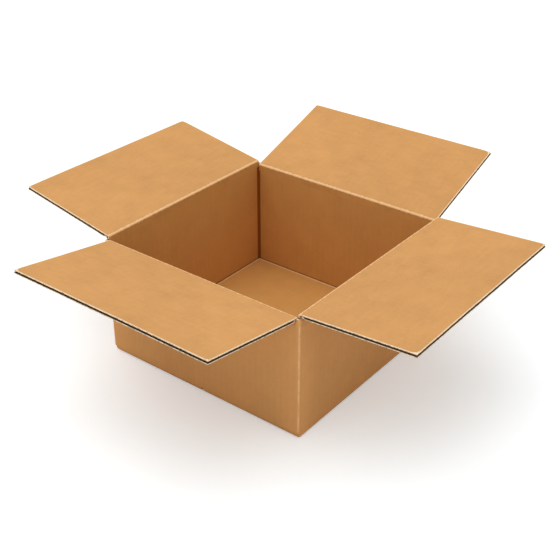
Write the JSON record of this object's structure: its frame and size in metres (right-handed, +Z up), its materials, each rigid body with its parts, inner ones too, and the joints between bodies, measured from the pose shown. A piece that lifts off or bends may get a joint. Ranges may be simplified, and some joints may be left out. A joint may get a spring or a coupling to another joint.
{
  "type": "open corrugated carton",
  "caption": "Square, shallow corrugated carton standing open, its bottom glued shut and its lid flaps spread on their folds.",
  "frame": {"origin": "on the floor, at the middle of the box", "axes": "+X right along the front wall, +Y from the front wall to the back wall, +Z up"},
  "size_m": [0.5102, 0.5044, 0.1832],
  "materials": {
    "kraft_board": null
  },
  "bodies": {
    "carton_body": {"carton_body": "kraft_board"},
    "front_flap": {"front_flap": "kraft_board"},
    "right_flap": {"right_flap": "kraft_board"},
    "back_flap": {"back_flap": "kraft_board"},
    "left_flap": {"left_flap": "kraft_board"}
  },
  "joints": [
    {"name": "front_flap_fold", "type": "hinge", "parent": "carton_body", "child": "front_flap", "pos_m": [0, -0.129, 0.14], "axis": [-1, 0, 0], "range_deg": [-59, 171]},
    {"name": "right_flap_fold", "type": "hinge", "parent": "carton_body", "child": "right_flap", "pos_m": [0.129, 0, 0.1443], "axis": [0, -1, 0], "range_deg": [-54, 176]},
    {"name": "back_flap_fold", "type": "hinge", "parent": "carton_body", "child": "back_flap", "pos_m": [0, 0.129, 0.14], "axis": [1, 0, 0], "range_deg": [-69, 161]},
    {"name": "left_flap_fold", "type": "hinge", "parent": "carton_body", "child": "left_flap", "pos_m": [-0.129, 0, 0.1443], "axis": [0, 1, 0], "range_deg": [-60, 170]}
  ]
}
